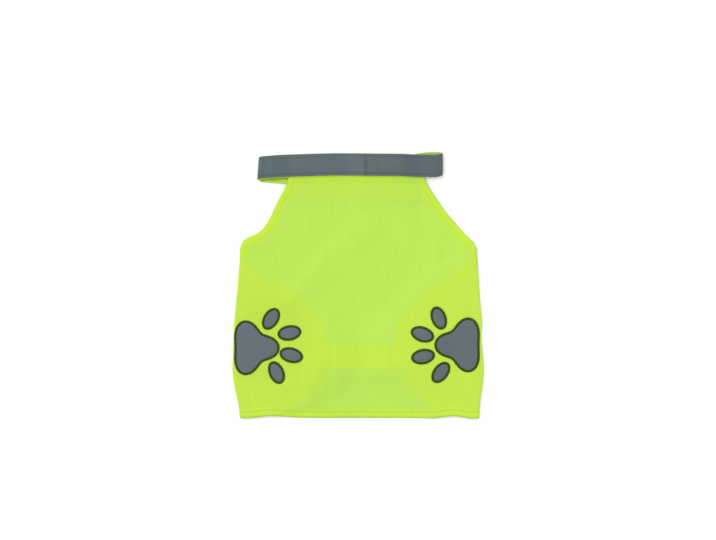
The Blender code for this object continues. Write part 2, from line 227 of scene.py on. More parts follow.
def flatCut(outline, rings, across, along, gap):
    grid = np.array(np.meshgrid(across, along)).reshape(2, -1).T
    grid = grid[insideOutline(grid, outline)]
    away, _ = nearestOnLine(grid, outline, closed=True)
    grid = grid[away > rings[-1] + gap]
    points = np.vstack([outline] + [insetLine(outline, depth) for depth in rings] + [grid])
    edges = [(k, (k + 1) % len(outline)) for k in range(len(outline))]
    made = delaunay_2d_cdt([Vector(p) for p in points], edges, [], 1, 1e-4)
    return np.array([tuple(p) for p in made[0]]), np.array(made[2])


def surfaceNormals(surface, a, y):
    step = 0.05
    across = surface(a + step, y) - surface(a - step, y)
    along = surface(a, y + step) - surface(a, y - step)
    normals = np.cross(across, along)
    return normals / np.linalg.norm(normals, axis=1)[:, None]


def boundaryEdges(triangles):
    edges = np.vstack([triangles[:, (0, 1)], triangles[:, (1, 2)], triangles[:, (2, 0)]])
    known = {tuple(edge) for edge in edges.tolist()}
    return [(start, end) for start, end in known if (end, start) not in known]


def finish(obj, slot, *nodes):
    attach(obj, "root")
    if nodes:
        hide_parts(*nodes)
    return obj


def newObject(name, mesh, material):
    mesh.materials.append(material)
    mesh.shade_smooth()
    return addObject(name, mesh)


def makeCloth(name, cut, outline, surface, low, high, tone, rim, material, shade=0):
    # A closed shell between two offsets from the surface, with a rounded rim. The offsets, tone and shade are
    # numbers, or rules of the pattern place, the distance from the edge and the place along it
    points, triangles = cut
    a, y = points.T
    edge, place = nearestOnLine(points, outline, closed=True)
    low, high, tone, shade = (rule(a, y, edge, place) if callable(rule) else np.full(len(a), float(rule))
                              for rule in (low, high, tone, shade))
    middle, normals = surface(a, y), surfaceNormals(surface, a, y)
    centre = (low + high) / 2
    swell = np.sqrt(1 - (1 - np.clip(edge / rim, 0.1, 1)) ** 2)  # thin at the cut edge, full inside the rim
    inner = middle + normals * (centre + (low - centre) * swell)[:, None]
    outer = middle + normals * (centre + (high - centre) * swell)[:, None]
    count = len(points)
    faces = (triangles + count).tolist() + triangles[:, ::-1].tolist()
    faces += [(end + count, start + count, start, end) for start, end in boundaryEdges(triangles)]
    mesh = bpy.data.meshes.new(name)
    mesh.from_pydata(np.vstack([inner, outer]) * mm, [], faces)
    grain = mesh.attributes.new("grain", "FLOAT_VECTOR", "POINT")  # pattern place in mm, for the weave
    grain.data.foreach_set("vector", np.tile(np.column_stack([a, y, edge]), (2, 1)).ravel())
    for label, values in (("tone", tone), ("shade", shade)):  # how many layers show, and the painted shade
        mesh.attributes.new(label, "FLOAT", "POINT").data.foreach_set("value", np.tile(values, 2))
    return newObject(name, mesh, material)


# Materials


def tinted(add, colour, *factors):
    # The colour, multiplied by each factor in turn
    for factor in factors:
        colour = add("ShaderNodeVectorMath", (colour, factor), operation="MULTIPLY")
    return colour


def shadeFactor(add):
    # Painted shade: the colour loses the share of light that shade says, at stitched lines, cut edges,
    # pressed folds and under other parts; where shade is negative, painted light brightens it
    shade = add("ShaderNodeAttribute", attribute_name="shade")
    return add("ShaderNodeMath", (1.0, shade.outputs["Fac"]), operation="SUBTRACT")


def setStops(ramp, *stops):
    # Three stops of a ramp: place and colour
    ramp.color_ramp.elements.new(0.5)
    for element, (place, colour) in zip(ramp.color_ramp.elements, stops):
        element.position, element.color = place, linearColour(colour)


def finishMaterial(material, colour, relief=None, strength=0.3, depth=0.05):
    # Sends the colour and the relief, whose depth is in mm, to the shader
    tree = material.node_tree
    shader = tree.nodes["Principled BSDF"]
    tree.links.new(colour.outputs[0], shader.inputs["Base Color"])
    if relief:
        bump = addNode(tree, "ShaderNodeBump",
                       {"Height": relief, "Strength": strength, "Distance": depth * mm})
        tree.links.new(bump.outputs[0], shader.inputs["Normal"])
    return material


def clothMaterial(name, light, deep, bright, wale, streak):
    # Warp-knitted polyester, dyed fluorescent: matt and even, with fine ribs along the length, and a deeper
    # yellow where more layers lie under each other. Real ribs are nearer 0.4 mm than wale, which shows
    material, add = newMaterial(name, Roughness=0.82, Specular_IOR_Level=0.28, Sheen_Weight=0.12,
                                Sheen_Roughness=0.5)
    grain = add("ShaderNodeAttribute", attribute_name="grain").outputs["Vector"]
    tone = add("ShaderNodeAttribute", attribute_name="tone").outputs["Fac"]
    layers = add("ShaderNodeValToRGB", (tone,))
    setStops(layers, (0, light), (0.5, deep), (1, bright))
    drawn = add("ShaderNodeMapping", {"Vector": grain, "Scale": (1 / streak, 0.06 / streak, 0)})
    streaks = add("ShaderNodeTexNoise", {"Vector": drawn, "Scale": 1.0, "Detail": 3.0, "Roughness": 0.6})
    change = add("ShaderNodeMapRange", (streaks, 0.3, 0.7, 0.98, 1.017))
    split = add("ShaderNodeSeparateXYZ", (grain,))
    waves = []  # ribs across, loops along them
    for axis, pitch in (("X", wale), ("Y", 0.8 * wale)):
        phase = add("ShaderNodeMath", (split.outputs[axis], math.tau / pitch), operation="MULTIPLY")
        waves.append(add("ShaderNodeMath", (phase,), operation="SINE"))
    knit = add("ShaderNodeMath", (waves[1], 0.45, waves[0]), operation="MULTIPLY_ADD")
    return finishMaterial(material, tinted(add, layers, change, shadeFactor(add)), knit)


def beadMaterial(name, cool, base, warm, bead, rough):
    # Reflective cloth: aluminium-backed glass beads on grey backing, satin and finely speckled, in cooler and
    # warmer patches
    material, add = newMaterial(name, Roughness=rough, Specular_IOR_Level=0.5)
    grain = add("ShaderNodeAttribute", attribute_name="grain").outputs["Vector"]
    patches = add("ShaderNodeTexNoise", {"Vector": grain, "Scale": 1 / 24, "Detail": 3.0, "Roughness": 0.55})
    ramp = add("ShaderNodeValToRGB", (patches,))
    setStops(ramp, (0.32, cool), (0.5, base), (0.68, warm))
    # Real beads are about 0.06 mm; they are drawn as coarse as shows
    beads = add("ShaderNodeTexVoronoi", {"Vector": grain, "Scale": 1 / bead})
    speckle = add("ShaderNodeMapRange", (beads, 0.0, 0.7, 1.07, 0.93))
    return finishMaterial(material, tinted(add, ramp, speckle, shadeFactor(add)), beads)


def threadMaterial(name, colour, ply):
    # Polyester sewing thread: a painted sheen along the twist and painted shade between threads, both as
    # noise in its colour
    material, add = newMaterial(name, Roughness=0.6, Specular_IOR_Level=0.16)
    place = add("ShaderNodeTexCoord").outputs["Object"]
    twist = add("ShaderNodeTexNoise", {"Vector": place, "Scale": 1 / (ply * mm), "Detail": 2.0})
    change = add("ShaderNodeMapRange", (twist, 0.3, 0.7, 0.85, 1.12))
    return finishMaterial(material, tinted(add, linearColour(colour)[:3], change))


def nappedMaterial(name, colour, tuft):
    # Hook and loop tape: matt nylon pile, mottled tuft by tuft
    material, add = newMaterial(name, Roughness=0.95, Specular_IOR_Level=0.2, Sheen_Weight=0.3)
    grain = add("ShaderNodeAttribute", attribute_name="grain").outputs["Vector"]
    tufts = add("ShaderNodeTexVoronoi", {"Vector": grain, "Scale": 1 / tuft})
    change = add("ShaderNodeMapRange", (tufts, 0.0, 0.7, 1.1, 0.75))
    return finishMaterial(material, tinted(add, linearColour(colour)[:3], change), tufts, 0.8, 0.3)


finishes = {  # colours, and the pitch of each pattern in mm
    "cloth": {"light": "ACD44D", "deep": "B1D53F", "bright": "B7D93A", "wale": 0.62, "streak": 3.4},
    "tape": {"cool": "455460", "base": "46555A", "warm": "4A5756", "bead": 0.55, "rough": 0.5},
    "applique": {"cool": "4D5B65", "base": "4E5C61", "warm": "505E5C", "bead": 0.55, "rough": 0.55},
    "satin": {"colour": "304810", "ply": 1.6},
    "hemThread": {"colour": "B2D43E", "ply": 1.2},
    "tapeThread": {"colour": "3A4447", "ply": 1.2},
    "closure": {"colour": "B2CA58", "tuft": 0.9},
}
vestCloth = clothMaterial("fluorescentPolyesterKnit", **finishes["cloth"])
reflectiveTape = beadMaterial("glassBeadTape", **finishes["tape"])
reflectiveCloth = beadMaterial("glassBeadCloth", **finishes["applique"])
satinThread = threadMaterial("darkSatinThread", **finishes["satin"])
hemThread = threadMaterial("fluorescentSewingThread", **finishes["hemThread"])
greyThread = threadMaterial("greySewingThread", **finishes["tapeThread"])
closureNap = nappedMaterial("hookAndLoopNap", **finishes["closure"])
print("materials made")

# Body: back panel and two wings in one cut, the wings folded under

layer = 1.3  # one thickness of the model's cloth and the gap to the next
bottomLayer = 0.5  # height of the middle of the lowest layer
foldRadius = 1.6
patternFold = 140.0  # pattern distance from the middle to either side fold
foldArc = math.pi * foldRadius

foldRows = (  # y, left x, right x of the silhouette
    (134, -133.4, 134), (46, -133.4, 134), (30, -133.5, 134.8), (12, -134.9, 135.9), (-15, -137.3, 137.7),
    (-42, -139.9, 139.9), (-56, -140.4, 139.3), (-69, -141.2, 139.9), (-82, -141.4, 141.3),
    (-96, -141.8, 141.9), (-110, -140.2, 140.9), (-123, -137.6, 139), (-137, -134.7, 137.5),
    (-151, -133.2, 136.6),
)
leftSlope = (
    (-76, 134), (-79.3, 117), (-83.8, 107), (-88.9, 98), (-95.6, 84.4), (-100.4, 74.6), (-105.2, 66.8),
    (-109.6, 61.8), (-115, 57.9), (-121, 55.2), (-126.6, 52.4), (-130.4, 48.4),
)
rightSlope = (
    (70, 134), (76.6, 117), (82.3, 107), (88.6, 98), (98.1, 84.4), (105.8, 75.2), (113.3, 66.5),
    (121, 57.5), (126.2, 52.4), (130.4, 48),
)
leftWing = (
    (-130, 31), (-114, 15), (-96, 4), (-78, -5), (-64, -14.5), (-51, -27), (-41.8, -40.4), (-35, -58.5),
    (-32.8, -76.6), (-34, -93), (-39.5, -107), (-48.6, -117), (-60, -126), (-76, -136), (-102, -145),
)
rightWing = (
    (129, 30), (112, 18), (98, 7), (84.8, -4.2), (69, -18), (56, -30), (46.5, -44), (41, -58.5),
    (39.6, -76), (43, -93), (52, -106), (62, -118), (78, -133), (103, -145),
)
armholeReach = ((170, 62), (136, 50), (131, 44))
hemLine = (
    (-125, -149.9), (-112, -148.7), (-99, -147.4), (-80, -148.4), (-60, -149.6), (0, -149.7),
    (45, -149.7), (80, -150), (94, -148.9), (107, -147.5), (118, -148.6), (128, -150.2),
)
mainCreases = (  # x0, y0, x1, y1, half width, height, much as in the model
    (12, 65, -73, -15, 24, 2.4), (-6, 16, 30, -12, 20, 1), (60, 96, 58, 64, 16, 1),
    (90, 62, 86, 20, 16, 1.2), (6, -104, 40, -88, 13, 1), (-38, -86, -56, -114, 12, 1),
)
smallCreases = (  # on the back, beside the main ones
    (-4, 61, -37, 35, 9, 0.5), (-37, 35, -69, -7, 9, 0.6), (-28, 22, -46, 2, 11, -0.5),
    (66, 118, 64, 98, 10, 0.4), (-58, 101, -16, 93, 10, 0.4), (8, 99, 62, 88, 9, -0.3),
    (-90, 72, -62, 46, 9, 0.5), (-106, 56, -94, 26, 8, 0.45), (106, 56, 88, 30, 9, 0.5),
    (34, -40, 40, -66, 8, 0.4), (-26, -126, -22, -110, 10, 0.5), (38, -104, 22, -124, 9, 0.4),
    (-10, 62, 8, 22, 12, 0.35), (72, 12, 61, -26, 10, 0.4), (-102, -8, -113, -33, 8, 0.4),
    (111, -6, 119, -29, 8, 0.4), (-62, -109, -98, -121, 9, 0.45), (58, -111, 104, -127, 9, 0.45),
    (-97, -148, -93, -131, 6, 0.45), (-39, -149, -41, -136, 5, 0.3), (31, -149, 35, -137, 6, 0.35),
    (84, -149, 88, -134, 6, 0.4), (-34, -38, -39, -63, 7, 0.4), (-8, -52, 14, -58, 7, 0.35),
    (0, -104, -14, -101, 6, 0.3), (-29, -66, -30, -97, 5, -0.6), (-24, -62, -18, -66, 6, 0.4),
    (40, -68, 39, -96, 6, -0.5), (32, -63, 22, -67, 6, 0.3), (-22, -98, 20, -97, 5, -0.3),
    (-20, -64, 20, -63, 5, -0.25),
)
wingCreases = (  # on the wings, seen from below
    (-122, 8, -92, -26, 9, 0.6), (-66, -34, -54, -66, 8, 0.5), (-112, -58, -78, -66, 8, 0.4),
    (-72, -92, -104, -118, 9, 0.6), (-52, -100, -66, -116, 6, 0.35), (-126, -90, -118, -128, 8, 0.4),
    (120, 6, 96, -18, 9, 0.55), (76, -34, 88, -62, 9, 0.5), (84, -92, 112, -112, 9, 0.6),
    (58, -96, 70, -116, 7, 0.4), (128, -60, 118, -96, 8, 0.4), (104, -46, 122, -30, 7, 0.35),
)

underLine = (  # middle of the collar's far side
    (-116, 130.9), (-98, 129), (-80, 127.8), (0, 127.6), (28, 128.6), (48, 131.4), (60, 134.4),
    (70, 136.8), (84, 137.7), (98, 137.4),
)

belt = {
    "left": -62.0, "right": 67.0, "middle": -80.5, "width": 26.0, "corner": 3.0,
    "closureLeft": 42.0, "closureRight": 65.0, "closureWidth": 24.0,
    "boxInset": 2.4,  # stitch lines from the strap's edges
}
bodyValues = {
    "cell": 2.2,
    "hemWidth": 9.7,
    "innerFace": -0.2,  # the cloth's two faces, from the model's middle surface
    "outerFace": 0.5,
    "hemInner": -0.65,  # the turned hem stands on the inner side
    "hemProud": 0.18,
    "grooveDepth": 0.2,
    "grooveWidth": 0.7,
    "stitchLine": 6.9,  # hem stitching, from the edge
    "wingLift": 0.12,  # room for the stitches that lie on the floor
    "puckerPitch": 7.5,
    "puckerHeight": 0.07,
}
edgeToFold = foldRadius + bodyValues["outerFace"]
cellSize = 8.0  # the model's cell, which its ramps are made of
collarY = 112.0  # above it the body lies inside the collar

leftFold, rightFold = lookUp(foldRows, 0, 1), lookUp(foldRows, 0, 2)
leftReach = lookUp(armholeReach + tuple((-x, y) for x, y in leftWing), 1, 0)
rightReach = lookUp(armholeReach + rightWing, 1, 0)


def sideOf(x):
    return np.where(x < 0, -1.0, 1.0)


def foldPlace(side, y):
    return np.where(side < 0, -leftFold(y), rightFold(y)) - edgeToFold


def onBack(x, y):
    return x * patternFold / float(foldPlace(x, y)), y


def onWing(x, y):
    side = -1 if x < 0 else 1
    return side * (patternFold + float(foldPlace(side, y)) - abs(x) + foldArc), y


def creaseHeight(x, y, creases):
    total = np.zeros(len(x))
    for x0, y0, x1, y1, half, height in creases:
        dx, dy = x1 - x0, y1 - y0
        share = np.clip(((x - x0) * dx + (y - y0) * dy) / (dx * dx + dy * dy), 0, 1)
        total += height * smooth(1 - np.hypot(x - x0 - dx * share, y - y0 - dy * share) / half)
    return total


def lapLift(x):
    return plateau(x, 8, 48, 24)


def wingHeight(x, y, spread=1.0):
    # The wings rise over the strap and its closure, over ramps that the back spreads wider
    v = belt
    half = v["width"] / 2 + 3
    height = bottomLayer
    for left, right, layers, cells in (("left", "right", 1, 2), ("closureLeft", "closureRight", 2, 3)):
        ramp = cells * spread * cellSize
        across = plateau(x, v[left] - cellSize, v[right] + cellSize, ramp)
        height = height + layers * layer * across * plateau(y, v["middle"] - half, v["middle"] + half, ramp)
    return height


def backHeight(x, y, edge):
    reach = np.where(x < 0, leftReach(y), rightReach(y))
    over = 1 - smooth((reach - np.abs(x) - cellSize / 2) / (4.5 * cellSize))
    hemRoom = 0.6 * smooth((27 - edge) / 13.5) * (1 - over) * smooth((collarY - y) / 16)
    underCollar = layer * (2 * smooth((y - 82) / 30) + 3 * lapLift(x) * smooth((y - 62) / 50))
    return (wingHeight(x, y, 1.8) + 2 * foldRadius * over + hemRoom + underCollar
            + creaseHeight(x, y, mainCreases) + creaseHeight(x, y, smallCreases))


def bodyOutline():
    left = [onBack(*p) for p in leftSlope[1:]] + [onWing(*p) for p in leftWing]
    right = [onBack(*p) for p in rightSlope[1:]] + [onWing(*p) for p in rightWing]
    hem = [onWing(-122, -149)] + [onBack(*p) for p in hemLine] + [onWing(126, -149)]
    lower = curveThrough(left + hem + right[::-1], 1.0)
    whole = np.vstack([[onBack(*rightSlope[0]), onBack(*leftSlope[0])], lower])

    def spacing(points):
        nearFold = np.abs(np.abs(points[:, 0]) - patternFold - foldArc / 2) < foldArc / 2 + 1
        return np.where(nearFold, 0.7, bodyValues["cell"])

    return resample(whole, spacing, closed=True)


outline = bodyOutline()


def laidOut(a, y):
    # Side, its fold's place, how far past the back, and x as if on the back and as if on a wing
    side = sideOf(a)
    fold, past = foldPlace(side, y), np.abs(a) - patternFold
    return side, fold, past, a * fold / patternFold, side * (fold - past + foldArc)


def bodySurface(a, y):
    # Where a pattern point lies: on the back, in a side fold or on a wing
    edge, _ = nearestOnLine(np.column_stack([a, y]), outline, closed=True)
    side, fold, past, xBack, xWing = laidOut(a, y)
    turn = np.clip(past / foldRadius, 0, math.pi)
    xTurn, zTurn = side * (fold + foldRadius * np.sin(turn)), bottomLayer + foldRadius * (1 + np.cos(turn))
    zWing = wingHeight(xWing, y) + creaseHeight(xWing, y, wingCreases) * smooth((past - foldArc) / 12)
    stretch = [past <= 0, past < foldArc]
    x = np.select(stretch, [xBack, xTurn], xWing)
    z = np.select(stretch, [backHeight(xBack, y, edge), zTurn], zWing)
    return np.column_stack([x, y, z])


underLineY = lookUp(underLine, 0, 1)
leftWingLine, rightWingLine = curveThrough(leftWing, 1.5), curveThrough(rightWing, 1.5)


def bodyTone(a, y, edge, place):
    # 0 is one layer of cloth, 0.5 two, 1 the turned hems
    _, _, past, xBack, xWing = laidOut(a, y)
    x = np.where(past <= 0, xBack, xWing)
    reach = np.where(x < 0, leftReach(y), rightReach(y))
    plan = np.column_stack([x, y])
    away = np.where(x < 0, nearestOnLine(plan, leftWingLine)[0], nearestOnLine(plan, rightWingLine)[0])
    inWing = np.where(np.abs(x) > reach, away, -away)
    patchy = np.sin(x / 6.1 + 1.9 * np.sin(y / 9.7)) * np.sin(y / 7.3 + 1.3 * np.sin(x / 11.9))
    lifted = smooth(creaseHeight(x, y, mainCreases) / 2)  # where the back stands off, less shows through
    wing = smooth(0.5 + (inWing + 0.7 * patchy) / 4) * (1 - 0.15 * lifted)
    wingHem, ownHem = (smooth((bodyValues["hemWidth"] + 0.7 - inside) / 1.4) for inside in (away, edge))
    v = belt
    strap = plateau(x, v["left"], v["right"], 1.5) * plateau(
        y, v["middle"] - v["width"] / 2, v["middle"] + v["width"] / 2, 1.5)
    under = (0.46 + 0.05 * patchy + 0.1 * wingHem) * wing + strap * (0.62 + 0.08 * patchy - 0.45 * wing)
    neck = 0.5 * smooth((y - underLineY(x) + 13.5) / 3)
    neck += (0.28 + 0.1 * patchy) * smooth((y - 95 - 2 * patchy) / 10)
    under += neck * (1 - under)  # the collar's far side shows through
    return np.clip(np.where(past <= 0, under + ownHem * 0.85 * (1 - under), 0.5 + 0.2 * ownHem), 0, 1)


def bodyShade(a, y, edge, place):
    # Painted shade: the bottom edge and the right one darker as if turned away from the light, a darker sunk
    # stitched line, and bands below the strap and below the collar; and a painted light falloff, darker
    # towards the left, most round the paw, and low left of the middle, lighter towards the right
    bottom, right = smooth((-138 - y) / 6), smooth(a / 20)
    rim = bell(edge, 0, 1.4) * (0.3 * bottom + 0.13 * right * (1 - bottom))
    stitched = bell(edge, bodyValues["stitchLine"], 0.9) * (0.05 + 0.05 * bottom)
    belowStrap = 0.025 * smooth((-91 - y) / 5) * smooth((y + 122) / 18) * plateau(a, -40, 56, 16)
    belowCollar = 0.02 * smooth((y - 88) / 16) + 0.05 * smooth((y - 110) / 8)
    # Painted light falloff: darker on the left and round the paw, lighter on the right, and darker low left
    # of the middle
    paintedLightFalloff = 0.03 * plateau(a, -125, -80, 22) * plateau(y, -95, -25, 22) - 0.02 * np.clip(a / 130, -1, 1)
    paintedLightFalloff += 0.025 * plateau(a, -45, 0, 25) * smooth((-110 - y) / 14)
    return np.maximum(rim, stitched) + paintedLightFalloff + (belowStrap + belowCollar) * (np.abs(a) < patternFold)


def hemRelief(a, y, edge, place):
    # The turned hem stands a little proud, sinks along its stitching and puckers unevenly beside it
    v = bodyValues
    proud = v["hemProud"] * smooth((v["hemWidth"] + 0.6 - edge) / 1.2)
    groove = v["grooveDepth"] * bell(edge, v["stitchLine"], v["grooveWidth"])
    wave = np.sin(math.tau * place / v["puckerPitch"] + 1.7 * np.sin(math.tau * place / 41))
    uneven = 0.5 + 0.5 * np.sin(math.tau * place / 67 + 1)
    pucker = v["puckerHeight"] * wave * uneven * bell(edge, v["stitchLine"], 4)
    return (proud - groove + pucker) * smooth((collarY - y) / 8)


def bodyOuter(a, y, edge, place):
    relief = hemRelief(a, y, edge, place)
    onTheWing = smooth((2 * (np.abs(a) - patternFold) - foldArc) / foldArc)
    return bodyValues["outerFace"] + relief - onTheWing * (bodyValues["wingLift"] + np.maximum(relief, 0))


def bodyInner(a, y, edge, place):
    hem = smooth((bodyValues["hemWidth"] + 0.6 - edge) / 1.0) * smooth((collarY - y) / 8)
    return bodyValues["innerFace"] + bodyValues["hemInner"] * hem - 0.4 * hemRelief(a, y, edge, place)


def makeBody():
    cell = bodyValues["cell"]
    fold = patternFold + foldArc * np.linspace(0, 1, 9)
    beyond = np.concatenate([fold, patternFold + foldArc + np.arange(1.2, 125, cell)])
    across = np.concatenate([-beyond[::-1], np.arange(-138, 138.1, cell), beyond])
    rings = (0.45, 1.1, 2.2, 3.6, 5.0, 5.9, 6.4, 6.9, 7.4, 7.9, 8.8, 9.5, 10.1, 11.0)  # close by the stitches
    cut = flatCut(outline, rings, across, np.arange(-150, 134, cell), 1.0)
    obj = makeCloth("vestBody", cut, outline, bodySurface, bodyInner, bodyOuter, bodyTone, 0.45, vestCloth,
                    bodyShade)
    return finish(obj, "fluorescent_cloth", "body")


body = makeBody()
print("body made:", len(body.data.polygons), "faces")

# Belly strap and its closure, under the wings


def roundedBox(x0, x1, middle, width, corner):
    y0, y1 = middle - width / 2, middle + width / 2
    places = []
    for cx, cy, first in ((x1 - corner, y1 - corner, 0), (x0 + corner, y1 - corner, 90),
                          (x0 + corner, y0 + corner, 180), (x1 - corner, y0 + corner, 270)):
        for turn in np.radians(first + np.arange(0, 91, 15)):
            places.append((cx + corner * math.cos(turn), cy + corner * math.sin(turn)))
    return np.array(places)


def levelAt(height):
    return lambda x, y: np.column_stack([x, y, np.full(len(x), height)])


def makePatch(name, x0, x1, width, corner, height, low, high, tone, material):
    cell, middle = 1.6, belt["middle"]
    edge = resample(roundedBox(x0, x1, middle, width, corner), cell, closed=True)
    across, along = np.arange(x0, x1, cell), np.arange(middle - width / 2, middle + width / 2, cell)
    cut = flatCut(edge, (0.35, 0.9, 1.7, 2.4, 3.1), across, along, 0.8)
    return makeCloth(name, cut, edge, levelAt(height), low, high, tone, 0.35, material)


def strapOuter(x, y, edge, place):
    return 0.45 + 0.05 * smooth(edge / 2) - 0.15 * bell(edge, belt["boxInset"], 0.6)


def strapInner(x, y, edge, place):
    return -0.42 + 0.15 * bell(edge, belt["boxInset"], 0.6)


def makeBelly():
    v = belt
    strap = makePatch("bellyStrap", v["left"], v["right"], v["width"], v["corner"], bottomLayer, strapInner,
                      strapOuter, 0.55, vestCloth)
    finish(strap, "fluorescent_cloth", "belly_strap")
    patches = []
    for number, kind in enumerate(("Hook", "Loop"), start=1):
        patch = makePatch("belly" + kind, v["closureLeft"], v["closureRight"], v["closureWidth"], 2.0,
                          bottomLayer + number * layer, -0.45, 0.45, 0.5, closureNap)
        patches.append(finish(patch, "hook_and_loop", "belly_" + kind.lower()))
    return strap, patches


strap, bellyPatches = makeBelly()
print("belly strap made")

# Collar: a ring of doubled cloth with reflective tape outside, pressed flat and lapped at the throat

collar = {
    "bandWidth": 25.4, "bandShift": -0.45, "tapeWidth": 25.0,  # the band shows a little below the tape
    "bandTaper": 0.7,  # but hardly towards the right end
    "left": -113.1, "right": 95.9,
    "leftRadius": 1.9, "rightRadius": 1.7,  # the ring's ends stand a little open
    "leftSlant": 0.075,  # the left end leans
    "lapTip": 47.5, "lapCut": 9.0, "tapeEnd": 72.0,
    "closure": (11.0, 46.0), "closureWidth": 24.0,
    "stitchInset": 3.0,
    "joinPlace": 9.3,  # the line across the tape, over the lap's end
    "puckers": (22.9, 32.4, 41.0, 46.6), "puckerWidth": 1.3,  # beside the join, in the lower half
}
upperLine = (
    (-116, 132.3), (-98, 133.6), (-83, 134.6), (-60, 135.4), (-24, 136.3), (10, 135.8), (43, 135.5),
    (64, 134.9), (84, 134.3), (88, 134.4), (91, 135), (93, 135.7), (98, 135.8),
)
underY, upperY = underLineY, lookUp(upperLine, 0, 1)
leftRadius, rightRadius = collar["leftRadius"], collar["rightRadius"]
axisLeft = collar["left"] + leftRadius + layer + 0.5
axisRight = collar["right"] - rightRadius - layer - 0.5
leftArc, rightArc = math.pi * leftRadius, math.pi * rightRadius
underRun = collar["lapTip"] - axisLeft
upperStart = underRun + leftArc
rightStart = upperStart + axisRight - axisLeft
innerStart = rightStart + rightArc
bandEnd, tapeEnd = (innerStart + axisRight - collar[place] for place in ("lapCut", "tapeEnd"))
bandHeight = bottomLayer + layer


def collarSurface(along, width):
    # The band's run: under side, left fold, upper side, right fold and the lapped inner end
    leftTurn = np.clip((along - underRun) / leftRadius, 0, math.pi)
    rightTurn = np.clip((along - rightStart) / rightRadius, 0, math.pi)
    xUnder, xUpper = collar["lapTip"] - along, axisLeft + along - upperStart
    xInner = axisRight - (along - innerStart)
    stretch = [along <= underRun, along < upperStart, along <= rightStart, along < innerStart]
    leftShare, rightShare = leftTurn / math.pi, rightTurn / math.pi
    x = np.select(stretch, [xUnder, axisLeft - leftRadius * np.sin(leftTurn), xUpper,
                            axisRight + rightRadius * np.sin(rightTurn)], xInner)
    yLeft = underY(axisLeft) * (1 - leftShare) + upperY(axisLeft) * leftShare
    yRight = upperY(axisRight) * (1 - rightShare) + underY(axisRight) * rightShare
    y = np.select(stretch, [underY(xUnder), yLeft, upperY(xUpper), yRight], underY(xInner))
    overVest = 2 * layer + 2 * (leftRadius - layer) * smooth((-72 - xUpper) / 30)
    overVest += 2 * (rightRadius - layer) * smooth((xUpper - 70) / 20)
    z = bandHeight + np.select(stretch, [0 * along, leftRadius * (1 - np.cos(leftTurn)),
                                         overVest + 3 * layer * lapLift(xUpper),
                                         rightRadius * (1 + np.cos(rightTurn))],
                               3 * layer * lapLift(np.maximum(xInner, 8)))
    x = x + collar["leftSlant"] * width * smooth((-90 - x) / 24)
    return np.column_stack([x, y + width, z])


def collarWave(along, width):
    # Soft uneven waves of the pressed band, and small puckers over the lap
    wave = 0.16 * np.sin(math.tau * along / 33.0 + 1.3 * np.sin(along / 19.0))
    wave += 0.08 * np.sin(math.tau * along / 12.5 + 0.12 * width)
    x, upper = onUpperSide(along)
    wave -= (0.3 * puckerMarks(x, width) + 0.7 * bell(x, collar["joinPlace"], 0.9)) * upper
    return wave * smooth(along / 6)


def onUpperSide(along):
    return axisLeft + along - upperStart, (along > upperStart) & (along < rightStart)


def puckerMarks(x, width):
    marks = sum(bell(x, place, collar["puckerWidth"]) for place in collar["puckers"])
    return marks * smooth((4 - width) / 8) * smooth((width + 10) / 4)


def tapeGroove(width):
    # The stitch lines along both sides of the tape
    return bell(np.abs(width), collar["tapeWidth"] / 2 - collar["stitchInset"], 0.7)


def tapeShade(along, width, edge, place):
    # Painted shade in the sunk stitching, along the line of the join and its puckers, and in the pressed
    # folds at both ends
    x, upper = onUpperSide(along)
    join = 0.24 * bell(x, collar["joinPlace"], 1.5) + 0.13 * puckerMarks(x, width)
    ends = 0.24 * bell(x, axisLeft + 1.5, 2.5) + 0.07 * smooth((x - 78) / 4) + 0.1 * smooth((x - 86) / 6)
    return np.maximum(0.25 * tapeGroove(width), (join + ends) * upper)


def bandShade(along, width, edge, place):
    # Painted shade: the far side's inner face lies in the shade of the near one, deepest right below its
    # edge, and the right fold and the lapped inner end are darker
    x, far = collar["lapTip"] - along, smooth((underRun - along) / 2)
    gap = upperY(x) - collar["bandWidth"] / 2 + collar["bandShift"] - underY(x) - width
    return 0.26 * smooth((along - rightStart) / 2) + far * (0.08 + 0.42 * bell(gap, 1.3, 1.1))


def collarStations(cell):
    stations = np.arange(0.5, innerStart + axisRight, cell)
    for start, arc in ((underRun, leftArc), (rightStart, rightArc)):
        stations = stations[(stations < start - 0.3) | (stations > start + arc + 0.3)]
        stations = np.concatenate([stations, start + arc * np.linspace(0, 1, 13)])
    return np.sort(stations)


def foldSpacing(points):
    nearFold = np.zeros(len(points), bool)
    for start, arc in ((underRun, leftArc), (rightStart, rightArc)):
        nearFold |= np.abs(points[:, 0] - start - arc / 2) < arc / 2 + 0.5
    return np.where(nearFold, 0.6, 1.6)


def makeStrip(name, start, end, width, low, high, tone, shade, slot, node, material, shift=0.0, taper=0.0):
    half = width / 2
    edge = resample(roundedBox(start, end, shift, width, 0.6), foldSpacing, closed=True)
    edge[:, 1] += taper * smooth((edge[:, 0] - rightStart + 80) / 60) * smooth(-edge[:, 1] / half)
    cut = flatCut(edge, (0.3, 0.8, 1.6), collarStations(1.4), np.arange(-half + 3.2, half - 3.1, 1.4), 0.6)
    obj = makeCloth(name, cut, edge, collarSurface, low, high, tone, 0.35, material, shade)
    return finish(obj, slot, node)


def tapeOuter(along, width, edge, place):
    return 1.55 - 0.14 * tapeGroove(width) + 0.5 * collarWave(along, width)


def tapeInner(along, width, edge, place):
    return 0.75 + 0.3 * np.minimum(collarWave(along, width), 0)


